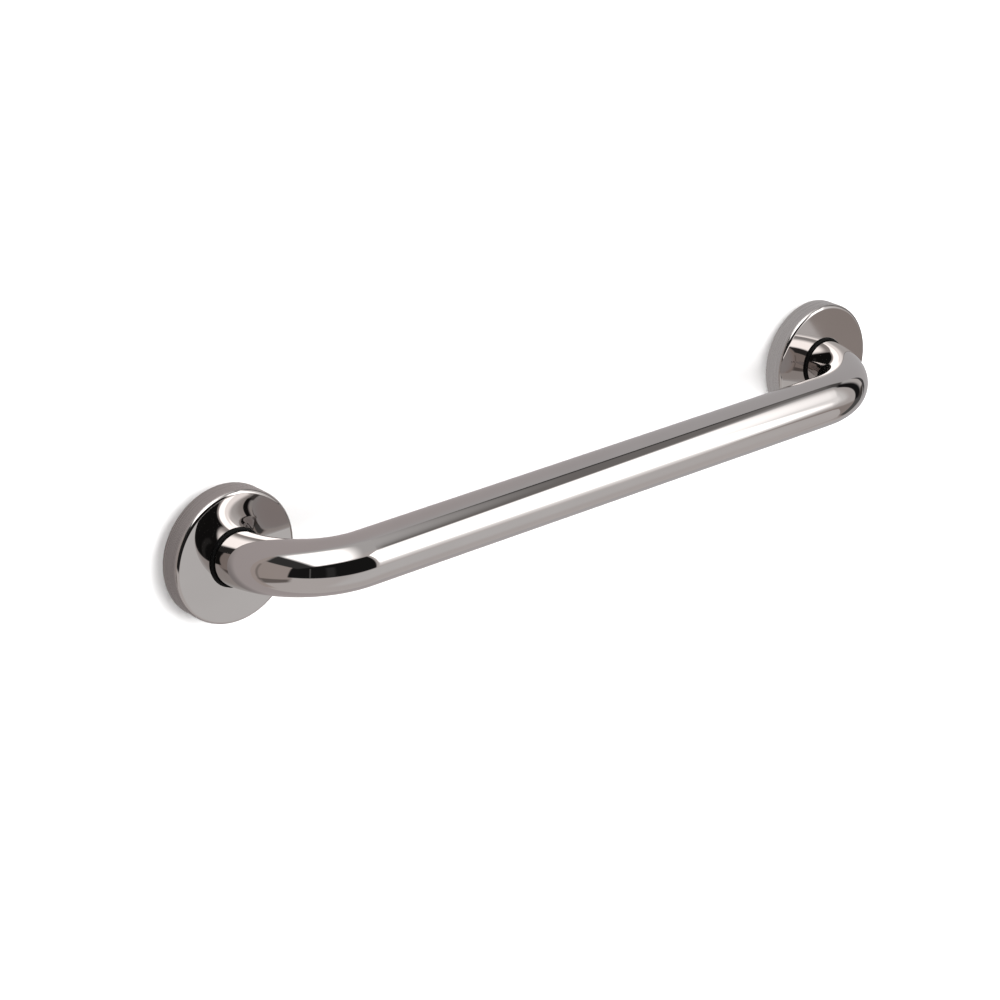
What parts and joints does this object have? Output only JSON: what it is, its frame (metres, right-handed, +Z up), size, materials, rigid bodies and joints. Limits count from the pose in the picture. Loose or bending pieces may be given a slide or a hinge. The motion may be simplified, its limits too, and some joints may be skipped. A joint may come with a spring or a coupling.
{
  "type": "grab rail",
  "caption": "Wall-mounted grab rail: a mirror-polished steel tube bent back to the wall at both ends, on screwed flanges under round slide-off covers.",
  "frame": {"origin": "on the wall plane, midway between the two flange centres", "axes": "+X along the rail, from the left flange to the right one as seen from the room; +Y into the wall, so the rail stands out towards -Y; +Z up"},
  "size_m": [0.5352, 0.0906, 0.078],
  "materials": {
    "polished_tube": "mirror-polished stainless steel, warm grey",
    "cover_steel": "mirror-polished face, fine circumferential brushing on the rim",
    "flange_steel": "plain cold-rolled sheet finish",
    "weld_metal": "rippled weld bead, lightly heat tinted",
    "fastener_steel": "plain stainless fastener",
    "seal_rubber": "matt black"
  },
  "bodies": {
    "rail": {"rail_tube": "polished_tube", "mounting_flange_left": "flange_steel", "weld_bead_left": "weld_metal", "screw_left_1": "fastener_steel", "washer_left_1": "fastener_steel", "screw_left_2": "fastener_steel", "washer_left_2": "fastener_steel", "screw_left_3": "fastener_steel", "washer_left_3": "fastener_steel", "mounting_flange_right": "flange_steel", "weld_bead_right": "weld_metal", "screw_right_1": "fastener_steel", "washer_right_1": "fastener_steel", "screw_right_2": "fastener_steel", "washer_right_2": "fastener_steel", "screw_right_3": "fastener_steel", "washer_right_3": "fastener_steel"},
    "cover_left": {"snap_cover_left": "cover_steel", "cover_seal_left": "seal_rubber"},
    "cover_right": {"snap_cover_right": "cover_steel", "cover_seal_right": "seal_rubber"}
  },
  "joints": [
    {"name": "left_cover_slide", "type": "hinge", "parent": "rail", "child": "cover_left", "pos_m": [-0.1778, -0.00953, 0], "axis": [0, 0, 1], "range_deg": [0, 80]},
    {"name": "right_cover_slide", "type": "hinge", "parent": "rail", "child": "cover_right", "pos_m": [0.1778, -0.00953, 0], "axis": [0, 0, -1], "range_deg": [0, 80]}
  ]
}
